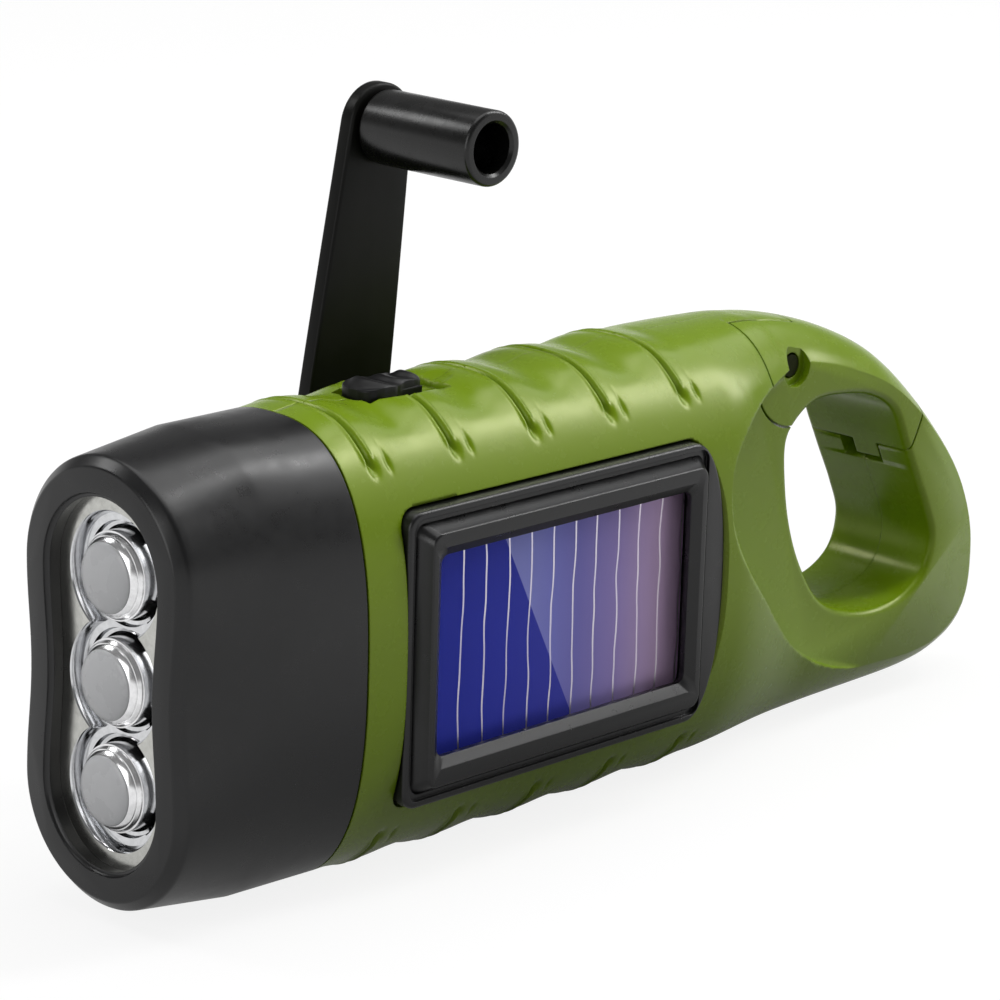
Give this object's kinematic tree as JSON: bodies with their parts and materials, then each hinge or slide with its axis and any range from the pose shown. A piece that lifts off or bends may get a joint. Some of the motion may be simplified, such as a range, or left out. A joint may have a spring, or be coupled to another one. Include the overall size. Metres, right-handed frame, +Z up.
{
  "type": "hand crank flashlight",
  "caption": "Hand crank flashlight with a solar panel on one side, a folding crank on the other, a thumb slide switch and a hanging loop with a sprung gate.",
  "frame": {"origin": "under the middle of the light's bounding box, on the surface that its lower grip ribs stand on", "axes": "+X runs from the lamp face to the hanging loop, +Y from the solar panel to the crank, +Z up"},
  "size_m": [0.145, 0.04, 0.0818],
  "materials": {
    "green_plastic": "olive-lime moulded ABS, semi-gloss",
    "black_plastic": "black moulded ABS, satin",
    "clear_plastic": "clear polycarbonate sheet",
    "lamp_lens": "frosted epoxy lens",
    "reflector_chrome": "metallised plastic",
    "steel": "zinc-plated steel",
    "board": "green circuit board",
    "nylon": "natural white nylon",
    "solar_blue": "blue solar cell with pale lines",
    "copper": "lacquered copper wire",
    "magnet": "plain ferrite"
  },
  "bodies": {
    "body": {"head_bezel": "black_plastic", "reflector": "reflector_chrome", "led_1": "lamp_lens", "led_2": "lamp_lens", "led_3": "lamp_lens", "led_board": "board", "housing_near": "green_plastic", "housing_far": "green_plastic", "housing_screw_1": "steel", "housing_screw_2": "steel", "housing_screw_3": "steel", "housing_screw_4": "steel", "housing_screw_5": "steel", "gate_pin": "steel", "gate_spring": "steel", "solar_bezel": "black_plastic", "solar_cover": "clear_plastic", "solar_cell": "solar_blue", "switch_body": "steel", "idler_shaft_1": "steel", "idler_shaft_2": "steel", "stator_can": "steel", "stator_coil": "copper", "gear_plate": "steel", "plate_screw_1": "steel", "plate_screw_2": "steel", "plate_screw_3": "steel", "battery_1": "steel", "battery_2": "steel", "battery_3": "steel", "main_board": "board"},
    "crank": {"crank_hub": "black_plastic", "hub_screw": "steel", "fold_pin": "steel", "drive_gear": "nylon"},
    "arm": {"crank_arm": "black_plastic", "knob_pin": "steel"},
    "knob": {"crank_knob": "black_plastic"},
    "first_idler": {"idler_gear_1": "nylon"},
    "second_idler": {"idler_gear_2": "nylon"},
    "rotor": {"rotor_magnet": "magnet", "rotor_pinion": "nylon", "rotor_shaft": "steel"},
    "gate": {"carabiner_gate": "green_plastic"},
    "slider": {"switch_slider": "black_plastic"}
  },
  "joints": [
    {"name": "crank_turn", "type": "hinge", "parent": "body", "child": "crank", "pos_m": [-0.02226, 0.0127, 0.02036], "axis": [0, 1, 0], "range_deg": [-57, 41]},
    {"name": "arm_fold", "type": "hinge", "parent": "crank", "child": "arm", "pos_m": [-0.02226, 0.0175, 0.02036], "axis": [-0.9903, 0, 0.1392], "range_deg": [0, 180]},
    {"name": "knob_spin", "type": "hinge", "parent": "arm", "child": "knob", "pos_m": [-0.01433, 0.006, 0.0768], "axis": [0, 1, 0], "continuous": true},
    {"name": "first_idler_turn", "type": "hinge", "parent": "body", "child": "first_idler", "pos_m": [-0.01401, 0.00285, 0.03465], "axis": [0, 1, 0], "range_deg": [-160, 222]},
    {"name": "second_idler_turn", "type": "hinge", "parent": "body", "child": "second_idler", "pos_m": [0.00061, -0.00025, 0.0299], "axis": [0, 1, 0], "range_deg": [-789, 567]},
    {"name": "rotor_spin", "type": "hinge", "parent": "body", "child": "rotor", "pos_m": [-0.00707, -0.0063, 0.01658], "axis": [0, 1, 0], "range_deg": [-2016, 2803]},
    {"name": "gate_swing", "type": "hinge", "parent": "body", "child": "gate", "pos_m": [0.03014, -0.0034, 0.04656], "axis": [0, 1, 0], "range_deg": [0, 32], "stiffness_Nm_per_rad": 0.08, "springref_deg": -17.19},
    {"name": "switch_slide", "type": "slide", "parent": "body", "child": "slider", "axis": [1, 0, 0], "range_m": [0, 0.0025]}
  ],
  "couplings": [
    {"joint": "first_idler_turn", "follows": "crank_turn", "ratio": -3.8889},
    {"joint": "second_idler_turn", "follows": "crank_turn", "ratio": 13.827},
    {"joint": "rotor_spin", "follows": "crank_turn", "ratio": -49.163}
  ]
}
